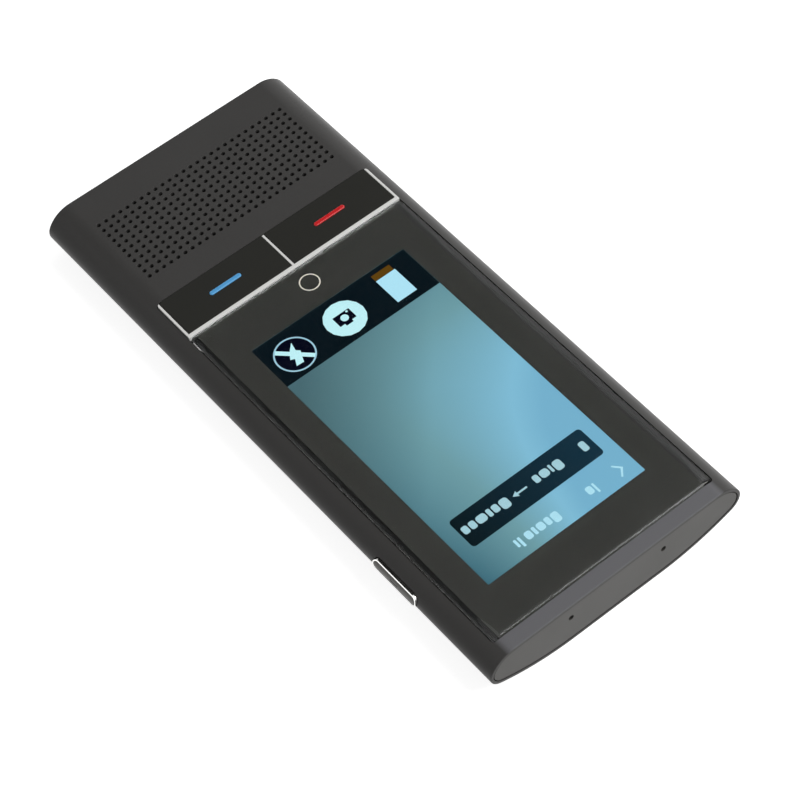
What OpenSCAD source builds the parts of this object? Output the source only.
// Handheld voice translator: a slim lens-section tube with a glass front,
// a drilled speaker grille, two talk keys, a side key and its insides.
// X is the width, +Y points to the microphone end, +Z is the display side.
// The origin is at the centre of the flat underside.

/* [Body] */
// Width across the two rounded long sides
body_w = 52.8; // [51:0.1:58]
// Length between the two ends
body_l = 123.1; // [122:0.1:140]
// Thickness from the underside to the flat front
body_t = 10.0; // [9.8:0.1:11]
// Wall of the extruded tube
wall = 1.0; // [0.8:0.05:1.1]
// Radius of the nose along each long side
nose_r = 3.0; // [2.4:0.1:3.2]
// Depth of the nose below the flat front
nose_drop = 4.3; // [4.1:0.1:4.6]
// Radius of the arc between the flat front and the nose
shoulder_r = 5.6; // [5.3:0.1:6]
// Radius of the arc between the flat underside and the nose
belly_r = 42; // [38:1:48]

/* [Front opening] */
// Distance from each long side of the body to the opening
opening_side = 3.2; // [2.9:0.05:3.5]
// Strip of tube between the opening and the microphone end
opening_end_strip = 2.85; // [2.5:0.05:3.4]
// Distance from the speaker end to the opening
opening_start = 29.35; // [28.9:0.05:30.1]
// Corner radius of the opening
opening_corner_r = 0.8; // [0.6:0.1:1.2]

/* [End plates] */
// Depth of the rebate that the plate's flange sits in
rebate_d = 1.3; // [1:0.05:1.5]
// Rim of tube left round the flange
rim_w = 0.6; // [0.4:0.05:0.65]
// Visible seam between rim and flange
seam_gap = 0.12; // [0.08:0.01:0.2]
// How far the plate's face sits behind the tube's end
plate_sink = 0.08; // [0:0.01:0.3]
// Length of the plug behind the flange
plug_l = 1.3; // [1:0.05:1.4]
// Distance from each long side of the body to the pocket inside the plug
plug_pocket_side = 6.7; // [6:0.1:8]
// Wall of the plug above and below its pocket
plug_wall = 1.1; // [0.9:0.05:1.3]

/* [Speaker grille] */
// Columns of holes across the width
grille_columns = 27; // [21:2:27]
// Rows of holes along the length
grille_rows = 11; // [7:1:11]
// Spacing of the holes both ways
grille_pitch = 1.55; // [1.4:0.01:1.58]
// Diameter of one hole
grille_hole_d = 0.8; // [0.6:0.05:0.9]
// Distance from the speaker end to the middle row
grille_middle = 15.6; // [15.1:0.05:16]

/* [Glass and display] */
// Thickness of the front glass
glass_t = 1.1; // [0.9:0.05:1.2]
// Depth of the glass face below the flat front
glass_drop = 0.05; // [0.02:0.01:0.15]
// Gap round the glass and the trim
opening_gap = 0.2; // [0.1:0.01:0.3]
// Corner radius of the glass outline
glass_corner_r = 0.6; // [0.4:0.1:1]
// Reach of the gentle roll at the key side of the glass
glass_roll_reach = 1.3; // [1:0.1:1.8]
// Radius of that roll
glass_roll_r = 3; // [2.5:0.1:4]
// Small round along the microphone side of the glass
glass_end_r = 0.5; // [0.3:0.05:0.7]
// Thickness of the printed mask behind the glass
mask_t = 0.1; // [0.05:0.01:0.15]
// Thickness of the adhesive frame
adhesive_t = 0.1; // [0.05:0.01:0.2]
// Border of glass beside the lit picture
picture_side = 6.4; // [5.6:0.05:8]
// Border of glass at the microphone side of the picture
picture_head = 9.1; // [7:0.05:10]
// Border of glass at the key side of the picture
picture_foot = 8.9; // [8.6:0.05:12]
// Border of the panel beside the picture
panel_side = 1.7; // [1:0.1:2]
// Border of the panel at the microphone side
panel_head = 2; // [1.2:0.1:2.4]
// Border of the panel at the key side, for its driver chip
panel_foot = 4.1; // [3:0.1:4.4]
// Thickness of the display panel
panel_t = 1.1; // [0.9:0.05:1.2]
// Thickness of the backlight
backlight_t = 1.0; // [0.8:0.05:1.1]
// Outer radius of the touch ring
ring_r = 1.9; // [1.7:0.05:2.3]
// Line width of the touch ring
ring_line = 0.25; // [0.2:0.01:0.4]
// Distance from the edge of the glass to the ring's centre
ring_from_edge = 3.75; // [3.5:0.05:5]

/* [Talk keys] */
// Length of the key strip along the body
key_l = 8.8; // [8.4:0.05:9]
// Thickness of a key cap
key_cap_t = 1.35; // [1.2:0.05:1.5]
// Gap between a key and what is round it
key_gap = 0.12; // [0.1:0.01:0.15]
// Radius of a key's outer corner
key_corner_r = 0.6; // [0.4:0.1:1]
// Travel of a key
key_travel = 0.3; // [0.2:0.05:0.35]
// Length of the coloured bar in a key
bar_l = 6.7; // [5:0.1:9]
// Width of the coloured bar
bar_w = 0.9; // [0.7:0.05:1.2]
// How far the bar stands above its key
bar_proud = 0.15; // [0.05:0.01:0.2]
// Depth of the bar in its key
bar_depth = 0.6; // [0.4:0.05:0.8]
// Width of the long bar of the bright trim
trim_bar_w = 0.7; // [0.5:0.05:0.8]
// Width of the end prongs of the trim
trim_prong_w = 0.45; // [0.35:0.05:0.6]
// Width of the divider between the keys
trim_divider_w = 0.45; // [0.35:0.05:0.6]
// Depth of the trim's top below the flat front
trim_drop = 0.1; // [0.05:0.01:0.2]
// Height of the prongs and of the divider
trim_prong_h = 0.9; // [0.7:0.05:1]
// Diameter of a switch dome
dome_d = 4.2; // [3.6:0.1:5]
// Height of a switch dome
dome_h = 0.35; // [0.25:0.05:0.4]
// Thickness of the board under the keys
key_board_t = 0.6; // [0.4:0.05:0.7]

/* [Side key] */
// Length of the side key
side_key_l = 11; // [9:0.1:13]
// Height of the side key
side_key_h = 2.2; // [1.8:0.05:2.3]
// Distance from the microphone end to the middle of the side key
side_key_end = 23.95; // [23.5:0.05:25]
// How far the side key stands out of the nose
side_key_proud = 0.35; // [0.2:0.05:0.6]
// Gap round the side key in its slot
side_key_gap = 0.15; // [0.1:0.01:0.2]
// Travel of the side key
side_key_travel = 0.25; // [0.15:0.05:0.3]

/* [Frame and boards] */
// Thickness of the midframe plate
plate_t = 0.6; // [0.5:0.05:0.7]
// Distance from each long side of the body to the midframe plate
plate_side = 2.2; // [2.1:0.05:2.5]
// Thickness of the circuit boards
board_t = 0.8; // [0.6:0.05:0.9]
// Height of the main board above the tube's floor
board_lift = 2.0; // [1.95:0.05:2.1]
// Distance from each long side of the body to the main board
board_side = 6.3; // [6.1:0.05:6.6]
// Length of the main board
board_l = 28.3; // [27.5:0.1:29]
// Diameter of the screw shanks
screw_d = 1.4; // [1.2:0.1:1.6]
// Diameter of the screw heads
screw_head_d = 2.6; // [2.2:0.1:2.8]
// Height of the screw heads
screw_head_h = 0.55; // [0.4:0.05:0.6]
// Diameter of the bosses for the screws
boss_d = 3.2; // [2.8:0.1:3.6]
// Distance from each long side of the body to the battery
battery_side = 11.2; // [10.8:0.1:14]
// Gap between the battery and the carrier
battery_foot_gap = 1.4; // [0.8:0.1:4]
// Gap between the battery and the main board
battery_head_gap = 2.9; // [2:0.1:5]
// Thickness of the battery
battery_t = 3.9; // [3.5:0.05:3.95]

/* [Speaker and socket] */
// Distance from each long side of the body to the speaker box
speaker_side = 9.7; // [9.4:0.1:12]
// Gap between the charging socket and the speaker box
speaker_gap = 0.75; // [0.3:0.05:1.5]
// Thickness of the speaker box
speaker_t = 4.6; // [4.2:0.05:4.8]
// Width of the charging socket
socket_w = 8.94; // [8.8:0.02:9.1]
// Height of the charging socket
socket_h = 3.16; // [3:0.02:3.3]
// Length of the charging socket
socket_l = 6.9; // [6.4:0.1:7]
// Sheet thickness of the socket's shell
socket_sheet = 0.25; // [0.2:0.01:0.3]

/* [Microphones] */
// Distance of each microphone hole from the middle
mic_x = 9.75; // [8:0.05:11]
// Depth of the microphone holes below the flat front
mic_drop = 3.6; // [3.4:0.05:4]
// Diameter of the microphone holes
mic_hole_d = 1.0; // [0.8:0.05:1.2]

/* [Rear camera] */
// Distance from the long side without a key to the camera
camera_side = 15.7; // [15.2:0.1:16.2]
// Distance from the microphone end to the camera
camera_end = 12.75; // [12.4:0.05:13]
// Outer diameter of the camera ring
camera_ring_d = 8; // [7.6:0.1:8.4]
// Diameter of the camera window
camera_window_d = 6.3; // [5.8:0.1:6.6]
// Thickness of the camera window
camera_window_t = 0.55; // [0.4:0.05:0.6]
// Distance from the camera to the flash window
flash_offset = 9.5; // [9:0.1:10.5]
// Diameter of the flash window
flash_d = 3; // [2.6:0.1:3.4]

/* [Hidden] */
$fn = 48;
eps = 0.01;             // overlap of cutters past the faces they cut
seat_gap = 0.05;        // gap between two pieces that are stacked
fit_gap = 0.15;         // gap between an inner piece and what holds it
solder_gap = 0.02;      // film between a board and what is soldered to it
shank_gap = 0.05;       // gap round a screw shank or a set-in bar

// Body section: the nose circle meets the shoulder arc and the belly arc. It is larger
// by nose_over than the circle that touches both, so that it crosses them cleanly.
nose_over = 0.003;
end_y = body_l / 2;
side_x = body_w / 2;
nose_z = body_t - nose_drop;
nose_x = side_x - nose_r;
shoulder_x = nose_x - sqrt(pow(shoulder_r - nose_r, 2) - pow(nose_z - body_t + shoulder_r, 2));
belly_x = nose_x - sqrt(pow(belly_r - nose_r, 2) - pow(belly_r - nose_z, 2));
to_shoulder = [nose_x - shoulder_x, nose_z - body_t + shoulder_r] / (shoulder_r - nose_r);
to_belly = [nose_x - belly_x, nose_z - belly_r] / (belly_r - nose_r);
floor_z = wall;

// Front opening
opening_half_w = side_x - opening_side;
opening_y0 = -end_y + opening_start;
opening_y1 = end_y - opening_end_strip;

// Stack under the front, from the glass down to the midframe plate
glass_top = body_t - glass_drop;
glass_bottom = glass_top - glass_t;
mask_bottom = glass_bottom - mask_t;
rim_top = mask_bottom - adhesive_t;
panel_top = mask_bottom - seat_gap;
backlight_top = panel_top - panel_t - seat_gap;
plate_top = backlight_top - backlight_t - seat_gap;
plate_bottom = plate_top - plate_t;

// Key strip, trim and glass along the length
key_y0 = opening_y0 + key_gap;
key_y1 = key_y0 + key_l;
key_mid_y = (key_y0 + key_y1) / 2;
trim_y0 = key_y1 + key_gap;
trim_y1 = trim_y0 + trim_bar_w;
trim_top = body_t - trim_drop;
trim_half_w = opening_half_w - key_gap;
key_x0 = trim_divider_w / 2 + key_gap;
key_x1 = trim_half_w - trim_prong_w - key_gap;
key_mid_x = (key_x0 + key_x1) / 2;
key_top = body_t - glass_drop;
key_bottom = key_top - key_cap_t;
key_flange_t = 0.5;
key_flange_reach = 0.8;
key_flange_inset = 1;
key_flange_x = [key_x0 + key_flange_inset, key_x1 - key_flange_inset];
key_flange_y = [key_y0 - key_flange_reach, key_y0 + key_flange_inset];
key_nub_d = 1.6;
key_board_z0 = plate_top + seat_gap;
key_board_z1 = key_board_z0 + key_board_t;
dome_z0 = key_board_z1 + seat_gap;
key_nub_z = dome_z0 + dome_h + key_travel + seat_gap;
glass_y0 = trim_y1 + opening_gap / 2;
glass_y1 = opening_y1 - opening_gap / 2;
glass_half_w = opening_half_w - opening_gap;
ring_y = glass_y0 + ring_from_edge;

// Picture and panel
picture_half_w = glass_half_w - picture_side;
picture_y0 = glass_y0 + picture_foot;
picture_y1 = glass_y1 - picture_head;
panel_half_w = picture_half_w + panel_side;
panel_y = [picture_y0 - panel_foot, picture_y1 + panel_head];
panel_gap = 0.3;
tray_t = 0.2;
window_corner_r = 0.2;

// Midframe
plate_half_w = side_x - plate_side;
plate_tail = 4.7;
plate_y0 = opening_y0 - plate_tail;
rim_side_gap = 0.4;
rim_end_gap = 0.3;
rim_half_w = glass_half_w - rim_side_gap;
rim_y0 = trim_y0 + fit_gap;
rim_y1 = glass_y1 - rim_end_gap;
well_half_w = panel_half_w + panel_gap;
well_y = panel_y + [-panel_gap, panel_gap];
rail_reach = 0.9;
rail_h = 0.65;
rail_x = plate_half_w - rail_reach;
rail_z1 = plate_bottom - seat_gap;
rail_z0 = rail_z1 - rail_h;
plug_end_y = end_y - rebate_d - plug_l;
plug_end_gap = 0.4;
rail_end = plug_end_y - plug_end_gap;

// Side key and the switch that it presses
side_key_y = end_y - side_key_end;
side_key_rise = 0.6;
side_key_z = nose_z + side_key_rise;
side_key_face = side_x + side_key_proud;
side_slot_x0 = side_x - 2.5 * wall;
side_flange_drop = 2.55;
side_flange_t = 0.6;
side_flange_down = 0.7;
side_flange_up = 1.3;
side_flange_over = 0.75;
side_flange_x1 = side_x - side_flange_drop;
side_flange_x0 = side_flange_x1 - side_flange_t;
side_flange_z = [side_key_z - side_flange_down, side_key_z + side_flange_up];
side_flange_half_l = side_key_l / 2 + side_flange_over;
side_bay_gap = 0.5;
side_bay = side_flange_half_l + side_bay_gap;
side_nub = [0.5, 2.4, 1.1];
side_plunger = [1.0, 2.2, 1.0];
side_plunger_gap = 0.1;
side_plunger_x1 = side_flange_x0 - side_nub[0] - side_key_travel - side_plunger_gap;
side_switch_l = 4.4;
side_switch_depth = 2.7;
side_switch_rise = 0.7;
side_switch_x1 = side_plunger_x1 - side_plunger[0];
side_switch_x0 = side_switch_x1 - side_switch_depth;
side_switch_top = side_key_z + side_switch_rise;

// Lower carrier, speaker and charging socket
socket_sink = 0.35;
socket_y0 = -end_y + socket_sink;
socket_y1 = socket_y0 + socket_l;
grille_y = -end_y + grille_middle;
speaker_l = 2 * (grille_y - socket_y1 - speaker_gap);
speaker_half_w = side_x - speaker_side;
usb_board_lift = 1.2;
usb_board_side = 3;
usb_board_tail = 1.7;
usb_board_z0 = floor_z + usb_board_lift;
usb_board_z1 = usb_board_z0 + board_t;
usb_board_half_w = speaker_half_w - usb_board_side;
usb_board_y1 = plate_y0 + usb_board_tail;
speaker_lift = 0.25;
speaker_z0 = usb_board_z1 + speaker_lift;
speaker_z1 = speaker_z0 + speaker_t;
speaker_y = span(grille_y, speaker_l + 2 * fit_gap);
mesh_t = 0.18;
mesh_z1 = body_t - wall - solder_gap;
mesh_z0 = mesh_z1 - mesh_t;
mesh_l = (grille_rows + 0.2) * grille_pitch;
gasket_side = 0.3;
gasket_end = 0.2;
gasket_strip = 1.2;
speaker_corner_r = 1;
cone_side = 4;
cone_end = 2.5;
cone_groove_w = 1.5;
cone_groove_d = 0.3;
carrier_side = 5.2;
carrier_half_w = side_x - carrier_side;
carrier_y0 = -plug_end_y + plug_end_gap;
carrier_tail = 0.4;
carrier_y1 = usb_board_y1 + carrier_tail;
carrier_drop = 0.3;
carrier_top = speaker_z1 - carrier_drop;
carrier_ledge = plate_bottom - seat_gap;
carrier_screw_side = 2.2;
carrier_screw_x = carrier_half_w - carrier_screw_side;
carrier_screw_from_edge = 1.35;
carrier_screw_y = plate_y0 + carrier_screw_from_edge;
carrier_screw_l = 2.6;
socket_lift = 0.1;
socket_z = usb_board_z1 + socket_lift + socket_h / 2;
socket_gap = 0.12;
socket_tab_w = 0.8;
socket_tab_l = 2;
socket_tab_back = 1;
socket_tab_side = 1.8;
socket_tab_x = [socket_w / 2 - socket_tab_side - socket_tab_w, socket_w / 2 - socket_tab_side];
tongue_w = 6.7;
tongue_t = 0.7;
tongue_back_l = 1.2;
tongue_sink = 1;

// Main board, screws, cans and chips
board_z0 = floor_z + board_lift;
board_z1 = board_z0 + board_t;
board_half_w = side_x - board_side;
board_end_gap = 1.35;
board_y1 = plug_end_y - board_end_gap;
board_y0 = board_y1 - board_l;
board_screw_side = 2.6;
board_screw_foot = 3;
board_screw_head = 2.7;
board_screw_x = board_half_w - board_screw_side;
board_screws_y = [board_y0 + board_screw_foot, board_y1 - board_screw_head];

// Camera and flash
camera_x = side_x - camera_side;
camera_y = end_y - camera_end;
flash_x = -camera_x + flash_offset;
camera_body_w = 8.5;
camera_body_h = 2.5;
camera_bay_gap = 0.35;
camera_bay_w = camera_body_w + 2 * camera_bay_gap;
camera_lift = 1.5;
camera_z0 = floor_z + camera_lift;
camera_z1 = camera_z0 + camera_body_h;
lens_lift = 0.25;
lens_z0 = floor_z + lens_lift;
lens_bowl_d = 0.4;
lens_gap = 0.35;
lens_drop = 0.1;
lens_r = camera_window_d / 2 - lens_gap;
ring_step = 0.5;
flash_led_w = 2;
flash_led_h = 0.8;

// Cans and chips on the main board
can_sheet = 0.15;
can_h = 1.1;
can_z0 = board_z1 + solder_gap;
can_z1 = can_z0 + can_h;
chip_t = 0.7;
chip_z1 = board_z1 + chip_t;
can_side = 6.4;
can_foot = 3.8;
can_head = 2.3;
processor_can_w = 22;
processor_can_l = 10.5;
processor_can_x = [-board_half_w + can_side, -board_half_w + can_side + processor_can_w];
processor_can_y = [board_y0 + can_foot, board_y0 + can_foot + processor_can_l];
processor_w = 9;
radio_can_l = 10;
radio_can_gap = 2.4;
radio_can_x = [-camera_x + camera_bay_w / 2 + radio_can_gap, board_half_w - can_side];
radio_can_y = [board_y1 - can_head - radio_can_l, board_y1 - can_head];
radio_chip_w = 5;

// Battery with its lead and plug, and the flex that passes over it
battery_lift = 0.65;
battery_half_w = side_x - battery_side;
battery_y0 = carrier_y1 + battery_foot_gap;
battery_y1 = board_y0 - battery_head_gap;
battery_z0 = floor_z + battery_lift;
battery_z1 = battery_z0 + battery_t;
pad_inset = 2;
pad_side_gap = 0.5;
connector_size = [5, 2.5, 1];
connector_foot = 1.5;
connector_x = [processor_can_x[1], processor_can_x[1] + connector_size[0]];
connector_y = [board_y0 + connector_foot, board_y0 + connector_foot + connector_size[1]];
connector_z1 = board_z0 - solder_gap;
connector_z = [connector_z1 - connector_size[2], connector_z1];
lead_inset = 1;
lead_t = 0.3;
link_t = 0.15;
link_w = 12;
link_cut_gap = 1;
link_low_foot = 1.2;
link_high_foot = 0.5;

// Microphones at the end plate, and the flexes there
mic_z = body_t - mic_drop;
mic_size = [3.5, 1.0, 2.5];
mic_gasket_t = 0.25;
plate_inner_y = end_y - rebate_d + seat_gap;
mic_y1 = plate_inner_y - mic_gasket_t - 2 * seat_gap;
mic_gasket_gap = 0.1;
flex_t = 0.25;
flex_y1 = mic_y1 - mic_size[1] - solder_gap;
flex_z0 = board_z1 + seat_gap;
flex_over = 2.5;
flex_foot_half_w = 2.5;
flex_foot_l = 1.5;
plug_pocket_half_w = side_x - plug_pocket_side;
antenna_from_mic = 4;
antenna_side_gap = 0.4;
antenna_rise = 0.9;
antenna_foot_w = 2;
antenna_foot_l = 1;
antenna_x = [mic_x + antenna_from_mic, plug_pocket_half_w - antenna_side_gap];
antenna_y1 = plate_inner_y - solder_gap;

function wide(half) = [-half, half];
function span(middle, size) = [middle - size / 2, middle + size / 2];
function middle(range) = (range[0] + range[1]) / 2;

module slab(x, y, z) {
    translate([x[0], y[0], z[0]]) cube([x[1] - x[0], y[1] - y[0], z[1] - z[0]]);
}

module along_y(y0, y1) {
    translate([0, y1, 0]) rotate([90, 0, 0]) linear_extrude(y1 - y0) children();
}

module along_z(z0, z1) {
    translate([0, 0, z0]) linear_extrude(z1 - z0) children();
}

module both_sides() {
    children();
    mirror([1, 0, 0]) children();
}

module rounded_rect(w, l, r) {
    square([w - 2 * r, l], center = true);
    square([w, l - 2 * r], center = true);
    for (sx = [-1, 1], sy = [-1, 1]) translate([sx * (w / 2 - r), sy * (l / 2 - r)]) circle(r);
}

module rounded_plan(half_w, y0, y1, r) {
    translate([0, (y0 + y1) / 2]) rounded_rect(2 * half_w, y1 - y0, r);
}

module pill(l, w) {
    square([l - w, w], center = true);
    for (s = [-1, 1]) translate([s * (l - w) / 2, 0]) circle(w / 2);
}

// Half of the lens-like body section, moved inwards by inset
module half_section(inset) {
    reach = 2 * nose_r;
    difference() {
        intersection() {
            union() {
                square([shoulder_x, body_t - inset]);
                square([shoulder_x + shoulder_r - inset, body_t - shoulder_r]);
                translate([shoulder_x, body_t - shoulder_r]) circle(shoulder_r - inset, $fn = 96);
            }
            union() {
                translate([0, inset]) square([belly_x, body_t]);
                translate([belly_x, belly_r]) circle(belly_r - inset, $fn = 360);
            }
            square([body_w, body_t]);
        }
        difference() {
            polygon([for (way = [[0, 0], to_shoulder, to_shoulder + to_belly, to_belly])
                [nose_x, nose_z] + reach * way]);
            translate([nose_x, nose_z]) circle(nose_r + nose_over - inset);
        }
    }
}

module section(inset) {
    both_sides() half_section(inset);
}

module grille_holes() {
    for (i = [0:grille_columns - 1], j = [0:grille_rows - 1])
        translate([(i - (grille_columns - 1) / 2) * grille_pitch,
                   grille_y + (j - (grille_rows - 1) / 2) * grille_pitch, body_t - 2 * wall])
            cylinder(d = grille_hole_d, h = 2 * wall + eps, $fn = 16);
}

module side_pill(x0, x1, grow) {
    translate([x0, side_key_y, side_key_z]) rotate([90, 0, 90]) linear_extrude(x1 - x0)
        pill(side_key_l + 2 * grow, side_key_h + 2 * grow);
}

// Rail that carries the midframe plate, left out round the side key
module side_rail() {
    for (y = [[-rail_end, side_key_y - side_bay], [side_key_y + side_bay, rail_end]])
        intersection() {
            along_y(y[0], y[1]) section(wall / 2);
            slab([rail_x, side_x], wide(end_y), [rail_z0, rail_z1]);
        }
}

module body_shell() {
    color([0.26, 0.26, 0.27]) difference() {
        union() {
            difference() {
                along_y(-end_y, end_y) section(0);
                along_y(-end_y - eps, end_y + eps) section(wall);
            }
            both_sides() side_rail();
        }
        for (s = [0, 1]) mirror([0, s, 0]) along_y(end_y - rebate_d, end_y + eps) section(rim_w);
        along_z(plate_top, body_t + eps)
            rounded_plan(opening_half_w, opening_y0, opening_y1, opening_corner_r);
        grille_holes();
        side_pill(side_slot_x0, side_x + eps, side_key_gap);
        for (hole = [[-camera_x, camera_ring_d], [flash_x, flash_d]])
            translate([hole[0], camera_y, -eps]) cylinder(d = hole[1] + 2 * shank_gap, h = 2 * wall);
    }
}

// Flange and hollow plug of an end plate, with its face towards +Y
module end_plate_blank() {
    difference() {
        union() {
            along_y(plate_inner_y, end_y - plate_sink) section(rim_w + seam_gap);
            along_y(plug_end_y, plate_inner_y + eps) section(wall + seam_gap);
        }
        slab(wide(plug_pocket_half_w), [plug_end_y - eps, plate_inner_y],
             [floor_z + plug_wall, body_t - wall - plug_wall]);
    }
}

module top_end_plate() {
    color([0.38, 0.38, 0.37]) difference() {
        end_plate_blank();
        both_sides() translate([mic_x, end_y, mic_z]) rotate([90, 0, 0])
            cylinder(d = mic_hole_d, h = rebate_d + plug_l, $fn = 24);
    }
}

module bottom_end_plate() {
    color([0.38, 0.38, 0.37]) difference() {
        mirror([0, 1, 0]) end_plate_blank();
        translate([0, 0, socket_z]) along_y(-end_y - eps, -plate_inner_y + eps)
            pill(socket_w + 2 * socket_gap, socket_h + 2 * socket_gap);
    }
}

// Side view of the glass: a gentle roll at the key side, a small round at the other
module glass_side_view() {
    roll_y = glass_y0 + glass_roll_reach;
    roll_z = glass_top - glass_roll_r;
    translate([roll_y, roll_z]) circle(glass_roll_r, $fn = 128);
    translate([roll_y, roll_z]) square([glass_y1 - glass_end_r - roll_y, glass_roll_r]);
    translate([roll_y, roll_z]) square([glass_y1 - roll_y, glass_roll_r - glass_end_r]);
    translate([glass_y1 - glass_end_r, glass_top - glass_end_r]) circle(glass_end_r);
}

module front_glass() {
    color([0.1, 0.1, 0.1, 0.5]) intersection() {
        along_y(glass_y0, glass_y1) section(glass_drop);
        along_z(glass_bottom, body_t) rounded_plan(glass_half_w, glass_y0, glass_y1, glass_corner_r);
        translate([-glass_half_w, 0, 0]) rotate([90, 0, 90])
            linear_extrude(2 * glass_half_w) glass_side_view();
    }
}

module bezel_mask() {
    color([0.05, 0.05, 0.05]) along_z(mask_bottom, glass_bottom - eps) difference() {
        rounded_plan(glass_half_w - fit_gap, glass_y0 + fit_gap, glass_y1 - fit_gap, glass_corner_r);
        rounded_plan(picture_half_w, picture_y0, picture_y1, window_corner_r);
        translate([0, ring_y]) difference() {
            circle(ring_r + eps);
            circle(ring_r - ring_line - eps);
        }
    }
}

module touch_ring() {
    color([0.85, 0.83, 0.75]) along_z(mask_bottom, glass_bottom - eps) translate([0, ring_y]) difference() {
        circle(ring_r);
        circle(ring_r - ring_line);
    }
}

module glass_adhesive() {
    color([0.1, 0.1, 0.1]) along_z(rim_top + eps, mask_bottom - eps) difference() {
        rounded_plan(rim_half_w - fit_gap, glass_y0 + fit_gap, rim_y1 - fit_gap, glass_corner_r);
        rounded_plan(well_half_w + fit_gap, well_y[0] - fit_gap, well_y[1] + fit_gap, glass_corner_r);
    }
}

module display_panel() {
    color([0.35, 0.6, 0.7]) slab(wide(panel_half_w), panel_y, [panel_top - panel_t, panel_top]);
}

module backlight() {
    color([0.75, 0.76, 0.78]) difference() {
        slab(wide(panel_half_w), panel_y, [backlight_top - backlight_t, backlight_top]);
        slab(wide(panel_half_w - tray_t), [panel_y[0] + tray_t, panel_y[1] - tray_t],
             [backlight_top - tray_t, backlight_top + eps]);
    }
}

// Plate on the rails, the raised rim that carries the glass, and the board bosses
module midframe() {
    switch_bay = side_switch_l / 2 + side_bay_gap;
    color([0.3, 0.31, 0.33]) difference() {
        union() {
            slab(wide(plate_half_w), [plate_y0, rim_y1], [plate_bottom, plate_top]);
            difference() {
                along_z(plate_top - eps, rim_top) rounded_plan(rim_half_w, rim_y0, rim_y1, glass_corner_r);
                slab(wide(well_half_w), well_y, [plate_top, body_t]);
            }
            both_sides() for (y = board_screws_y) translate([board_screw_x, y, 0])
                along_z(board_z1 + seat_gap, plate_bottom + eps) circle(boss_d / 2);
        }
        both_sides() for (y = board_screws_y) translate([board_screw_x, y, 0])
            along_z(board_z1, plate_top + eps) circle(screw_d / 2 + shank_gap);
        both_sides() translate([carrier_screw_x, carrier_screw_y, 0])
            along_z(plate_bottom - eps, plate_top + eps) circle(screw_d / 2 + fit_gap);
        slab([side_switch_x0 - fit_gap, side_x], span(side_key_y, 2 * switch_bay),
             [plate_bottom - eps, side_switch_top + rim_side_gap]);
        slab([rim_half_w, side_x], span(side_key_y, 2 * side_bay), [plate_bottom - eps, plate_top + eps]);
    }
}

module key_trim() {
    prong_y = [key_y0, trim_y0 + eps];
    prong_z = [trim_top - trim_prong_h, trim_top];
    color([0.9, 0.9, 0.9]) intersection() {
        union() {
            slab(wide(trim_half_w), [trim_y0, trim_y1], [rim_top + seat_gap, trim_top]);
            both_sides() slab([trim_half_w - trim_prong_w, trim_half_w], prong_y, prong_z);
            slab(wide(trim_divider_w / 2), prong_y, prong_z);
        }
        along_z(0, body_t) rounded_plan(trim_half_w, key_y0, opening_y1, opening_corner_r - key_gap);
    }
}

// Outline of the key on the +X side, round at its outer corner
module key_outline() {
    translate([key_x0, key_y0]) square([key_x1 - key_x0 - key_corner_r, key_l]);
    translate([key_x0, key_y0 + key_corner_r]) square([key_x1 - key_x0, key_l - key_corner_r]);
    translate([key_x1 - key_corner_r, key_y0 + key_corner_r]) circle(key_corner_r);
}

// Cap with a slot for its bar, a flange that hooks under the front and a nub over the dome
module talk_key() {
    difference() {
        along_z(key_bottom, key_top) key_outline();
        translate([key_mid_x, key_mid_y, 0]) along_z(key_top - bar_depth, key_top + eps)
            pill(bar_l + 2 * shank_gap, bar_w + 2 * shank_gap);
    }
    slab(key_flange_x, key_flange_y, [key_bottom - key_flange_t, key_bottom + eps]);
    translate([key_mid_x, key_mid_y, 0]) along_z(key_nub_z, key_bottom + eps) circle(key_nub_d / 2);
}

module talk_key_bar() {
    translate([key_mid_x, key_mid_y, 0])
        along_z(key_top - bar_depth + shank_gap, key_top + bar_proud) pill(bar_l, bar_w);
}

module blue_key() {
    color([0.17, 0.17, 0.165]) talk_key();
}

module blue_key_bar() {
    color([0.29, 0.64, 0.86]) talk_key_bar();
}

module red_key() {
    color([0.17, 0.17, 0.165]) mirror([1, 0, 0]) talk_key();
}

module red_key_bar() {
    color([0.85, 0.15, 0.17]) mirror([1, 0, 0]) talk_key_bar();
}

module key_board() {
    color([0.12, 0.3, 0.2])
        slab(wide(key_flange_x[1]), [key_y0, rim_y0 - fit_gap], [key_board_z0, key_board_z1]);
}

module key_domes() {
    color([0.8, 0.8, 0.78]) both_sides() translate([key_mid_x, key_mid_y, dome_z0])
        cylinder(d1 = dome_d, d2 = key_nub_d, h = dome_h);
}

// Pill that passes the wall, a flange behind the wall and a nub for the switch
module side_key() {
    nub_x = [side_flange_x0 - side_nub[0], side_flange_x0 + eps];
    color([0.45, 0.45, 0.45]) {
        side_pill(side_flange_x1 - eps, side_key_face, 0);
        slab([side_flange_x0, side_flange_x1], span(side_key_y, 2 * side_flange_half_l), side_flange_z);
        slab(nub_x, span(side_key_y, side_nub[1]), span(side_key_z, side_nub[2]));
    }
}

module side_switch() {
    color([0.2, 0.2, 0.2]) {
        slab([side_switch_x0, side_switch_x1], span(side_key_y, side_switch_l), [flex_z0, side_switch_top]);
        slab([side_switch_x1 - eps, side_plunger_x1], span(side_key_y, side_plunger[1]),
             span(side_key_z, side_plunger[2]));
    }
}

module speaker_mesh() {
    color([0.08, 0.08, 0.08]) slab(wide(shoulder_x), span(grille_y, mesh_l), [mesh_z0, mesh_z1]);
}

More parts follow.
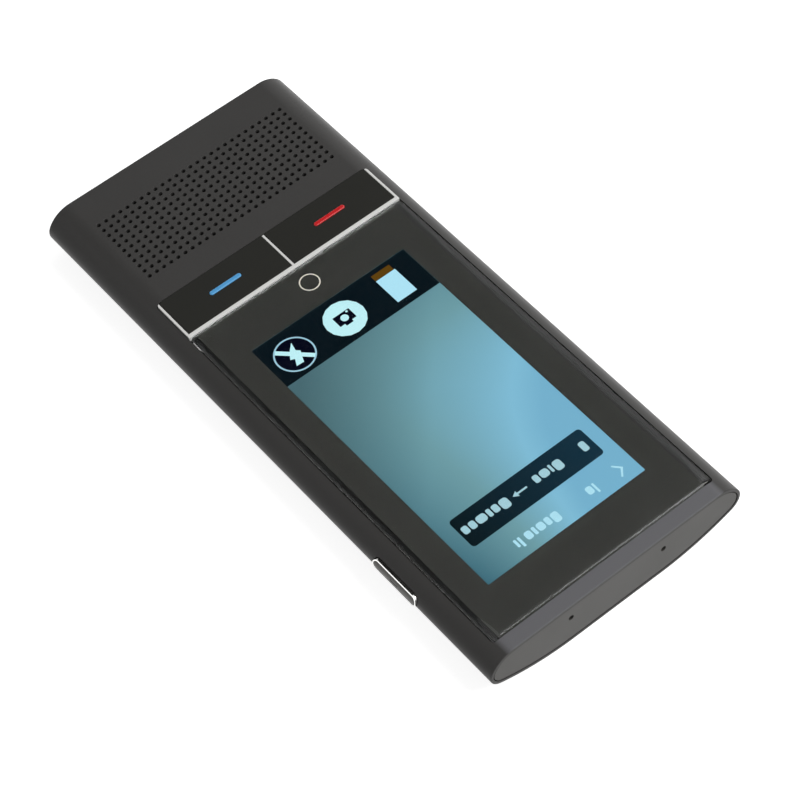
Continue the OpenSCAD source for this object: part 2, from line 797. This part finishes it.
module speaker_gasket() {
    w = 2 * (speaker_half_w - gasket_side);
    l = speaker_l - 2 * gasket_end;
    color([0.15, 0.15, 0.15]) translate([0, grille_y, 0])
        along_z(speaker_z1 + seat_gap, mesh_z0 - seat_gap) difference() {
            rounded_rect(w, l, speaker_corner_r);
            rounded_rect(w - 2 * gasket_strip, l - 2 * gasket_strip, speaker_corner_r);
        }
}

// Sealed box with a shallow oval groove round its cone
module speaker() {
    cone_w = 2 * (speaker_half_w - cone_side);
    cone_l = speaker_l - 2 * cone_end;
    color([0.14, 0.14, 0.15]) translate([0, grille_y, 0]) difference() {
        along_z(speaker_z0, speaker_z1) rounded_rect(2 * speaker_half_w, speaker_l, speaker_corner_r);
        along_z(speaker_z1 - cone_groove_d, speaker_z1 + eps) difference() {
            pill(cone_w, cone_l);
            pill(cone_w - 2 * cone_groove_w, cone_l - 2 * cone_groove_w);
        }
    }
}

// Moulded tray that holds the speaker, the socket board and the end of the midframe
module lower_carrier() {
    all_x = wide(side_x);
    top_cut = [speaker_z0 - eps, body_t];
    color([0.22, 0.22, 0.23]) difference() {
        intersection() {
            along_y(carrier_y0, carrier_y1) section(wall + fit_gap);
            slab(wide(carrier_half_w), [carrier_y0, carrier_y1], [0, carrier_top]);
        }
        slab(wide(speaker_half_w + fit_gap), speaker_y, [speaker_z0 - seat_gap, body_t]);
        slab(wide(usb_board_half_w + fit_gap), [carrier_y0 - eps, carrier_y1 + eps],
             [usb_board_z0 - fit_gap, speaker_z0]);
        slab(wide(socket_w / 2 + link_cut_gap), [carrier_y0 - eps, speaker_y[0] + eps], top_cut);
        slab(wide(link_w / 2 + link_cut_gap), [speaker_y[1] - eps, carrier_y1 + eps], top_cut);
        slab(all_x, [plate_y0 - fit_gap, carrier_y1 + eps], [carrier_ledge, body_t]);
        both_sides() translate([carrier_screw_x, carrier_screw_y, 0])
            along_z(plate_top - carrier_screw_l - fit_gap, body_t) circle(screw_d / 2 + shank_gap);
    }
}

module carrier_screws() {
    head_z0 = plate_top + seat_gap;
    color([0.6, 0.6, 0.62]) both_sides() translate([carrier_screw_x, carrier_screw_y, 0]) {
        along_z(head_z0, head_z0 + screw_head_h) circle(screw_head_d / 2);
        along_z(plate_top - carrier_screw_l, head_z0 + eps) circle(screw_d / 2);
    }
}

module usb_board() {
    color([0.1, 0.32, 0.2])
        slab(wide(usb_board_half_w), [carrier_y0 + fit_gap, usb_board_y1], [usb_board_z0, usb_board_z1]);
}

// Socket shell of thin sheet with two solder tabs
module usb_port() {
    tab_y1 = socket_y1 - socket_tab_back;
    color([0.75, 0.76, 0.78]) {
        translate([0, 0, socket_z]) along_y(socket_y0, socket_y1) difference() {
            pill(socket_w, socket_h);
            pill(socket_w - 2 * socket_sheet, socket_h - 2 * socket_sheet);
        }
        both_sides() slab(socket_tab_x, [tab_y1 - socket_tab_l, tab_y1],
                          [usb_board_z1 + solder_gap, socket_z - (socket_h - socket_sheet) / 2]);
    }
}

module usb_tongue() {
    inset = socket_sheet + seat_gap;
    back_y = socket_y1 - tongue_back_l;
    color([0.06, 0.06, 0.06]) translate([0, 0, socket_z]) {
        along_y(back_y, socket_y1) pill(socket_w - 2 * inset, socket_h - 2 * inset);
        along_y(socket_y0 + tongue_sink, back_y + eps) square([tongue_w, tongue_t], center = true);
    }
}

// Flat flex from the socket board to the main board, over the battery
module board_link() {
    low_y = usb_board_y1 - link_low_foot;
    high_y = board_y0 + link_high_foot;
    run_z = [battery_z1 + seat_gap, battery_z1 + seat_gap + link_t];
    color([0.75, 0.5, 0.15]) {
        slab(wide(link_w / 2), [low_y, high_y], run_z);
        slab(wide(link_w / 2), [low_y, low_y + link_t], [usb_board_z1 + seat_gap, run_z[1]]);
        slab(wide(link_w / 2), [high_y - link_t, high_y], [flex_z0, run_z[1]]);
    }
}

module main_board() {
    color([0.1, 0.32, 0.2]) difference() {
        slab(wide(board_half_w), [board_y0, board_y1], [board_z0, board_z1]);
        slab(span(-camera_x, camera_bay_w), span(camera_y, camera_bay_w), [board_z0 - eps, board_z1 + eps]);
        both_sides() for (y = board_screws_y) translate([board_screw_x, y, 0])
            along_z(board_z0 - eps, board_z1 + eps) circle(screw_d / 2 + fit_gap);
    }
}

module board_screws() {
    head_z1 = board_z0 - seat_gap;
    color([0.6, 0.6, 0.62]) both_sides() for (y = board_screws_y) translate([board_screw_x, y, 0]) {
        along_z(head_z1 - screw_head_h, head_z1) circle(screw_head_d / 2);
        along_z(head_z1 - eps, plate_bottom) circle(screw_d / 2);
    }
}

// Drawn-sheet can that is open towards the board
module can(x, y) {
    difference() {
        slab(x, y, [can_z0, can_z1]);
        slab(x + [can_sheet, -can_sheet], y + [can_sheet, -can_sheet], [can_z0 - eps, can_z1 - can_sheet]);
    }
}

module processor_can() {
    color([0.78, 0.78, 0.8]) can(processor_can_x, processor_can_y);
}

module radio_can() {
    color([0.78, 0.78, 0.8]) can(radio_can_x, radio_can_y);
}

module chip(can_x, can_y, size) {
    slab(span(middle(can_x), size), span(middle(can_y), size), [can_z0, chip_z1]);
}

module processor() {
    color([0.08, 0.08, 0.09]) chip(processor_can_x, processor_can_y, processor_w);
}

module radio_chip() {
    color([0.08, 0.08, 0.09]) chip(radio_can_x, radio_can_y, radio_chip_w);
}

module battery() {
    color([0.7, 0.71, 0.73]) slab(wide(battery_half_w), [battery_y0, battery_y1], [battery_z0, battery_z1]);
}

module battery_pad() {
    color([0.2, 0.2, 0.2]) slab(wide(belly_x - pad_side_gap),
                                [battery_y0 + pad_inset, battery_y1 - pad_inset],
                                [floor_z + solder_gap, battery_z0 - seat_gap]);
}

module battery_lead() {
    color([0.7, 0.1, 0.1]) slab(connector_x + [lead_inset, -lead_inset],
                                [battery_y1 + solder_gap, connector_y[0] - solder_gap],
                                span(middle(connector_z), lead_t));
}

module battery_connector() {
    color([0.85, 0.84, 0.8]) slab(connector_x, connector_y, connector_z);
}

// Square module with a round lens barrel towards the back
module rear_camera() {
    color([0.07, 0.07, 0.08]) translate([-camera_x, camera_y, 0]) {
        along_z(camera_z0, camera_z1) rounded_rect(camera_body_w, camera_body_w, 0.5);
        difference() {
            along_z(lens_z0, camera_z0 + eps) circle(lens_r);
            along_z(lens_z0 - eps, lens_z0 + lens_bowl_d) circle(lens_r / 2);
        }
    }
}

module camera_gasket() {
    color([0.12, 0.12, 0.12]) intersection() {
        translate([-camera_x, camera_y, 0]) along_z(0, camera_z0 - seat_gap) difference() {
            circle(camera_body_w / 2);
            circle(lens_r + fit_gap);
        }
        along_y(0, end_y) section(wall + seat_gap);
    }
}

// Stepped ring in the back wall: the window lies in its mouth
module camera_ring() {
    color([0.5, 0.5, 0.52]) translate([-camera_x, camera_y, 0]) difference() {
        along_z(lens_drop, wall) circle(camera_ring_d / 2);
        along_z(0, lens_drop + camera_window_t + 2 * seat_gap) circle(camera_window_d / 2 + seat_gap);
        along_z(0, wall + eps) circle(camera_window_d / 2 - ring_step);
    }
}

module camera_window() {
    color([0.1, 0.12, 0.15, 0.6]) translate([-camera_x, camera_y, lens_drop + seat_gap])
        cylinder(d = camera_window_d, h = camera_window_t);
}

module flash_led() {
    led_z1 = board_z0 - solder_gap;
    color([0.9, 0.85, 0.4])
        slab(span(flash_x, flash_led_w), span(camera_y, flash_led_w), [led_z1 - flash_led_h, led_z1]);
}

module flash_window() {
    color([0.9, 0.9, 0.85, 0.6]) translate([flash_x, camera_y, lens_drop])
        cylinder(d = flash_d, h = wall - lens_drop);
}

module microphone() {
    slab(span(mic_x, mic_size[0]), [mic_y1 - mic_size[1], mic_y1], span(mic_z, mic_size[2]));
}

module mic_left() {
    color([0.8, 0.75, 0.5]) mirror([1, 0, 0]) microphone();
}

module mic_right() {
    color([0.8, 0.75, 0.5]) microphone();
}

module mic_gaskets() {
    color([0.15, 0.15, 0.15]) both_sides() translate([mic_x, 0, mic_z])
        along_y(mic_y1 + seat_gap, mic_y1 + seat_gap + mic_gasket_t) difference() {
            circle(mic_size[2] / 2);
            circle(mic_hole_d / 2 + mic_gasket_gap);
        }
}

module mic_flex() {
    flex_y = [flex_y1 - flex_t, flex_y1];
    foot_x = wide(flex_foot_half_w);
    color([0.75, 0.5, 0.15]) {
        slab(wide(mic_x + flex_over), flex_y, span(mic_z, mic_size[2]));
        slab(foot_x, flex_y, [flex_z0, mic_z]);
        slab(foot_x, [board_y1 - flex_foot_l, flex_y1], [flex_z0, flex_z0 + flex_t]);
    }
}

module antenna_flex() {
    foot_x = [antenna_x[0], antenna_x[0] + antenna_foot_w];
    color([0.75, 0.5, 0.15]) {
        slab(antenna_x, [antenna_y1 - flex_t, antenna_y1], [flex_z0, mic_z + antenna_rise]);
        slab(foot_x, [board_y1 - antenna_foot_l, antenna_y1], [flex_z0, flex_z0 + flex_t]);
    }
}

body_shell();
top_end_plate();
bottom_end_plate();
front_glass();
bezel_mask();
touch_ring();
glass_adhesive();
display_panel();
backlight();
midframe();
key_trim();
blue_key();
blue_key_bar();
red_key();
red_key_bar();
key_board();
key_domes();
side_key();
side_switch();
speaker_mesh();
speaker_gasket();
speaker();
lower_carrier();
carrier_screws();
usb_board();
usb_port();
usb_tongue();
board_link();
main_board();
board_screws();
processor_can();
radio_can();
processor();
radio_chip();
battery();
battery_pad();
battery_lead();
battery_connector();
rear_camera();
camera_gasket();
camera_ring();
camera_window();
flash_led();
flash_window();
mic_left();
mic_right();
mic_gaskets();
mic_flex();
antenna_flex();
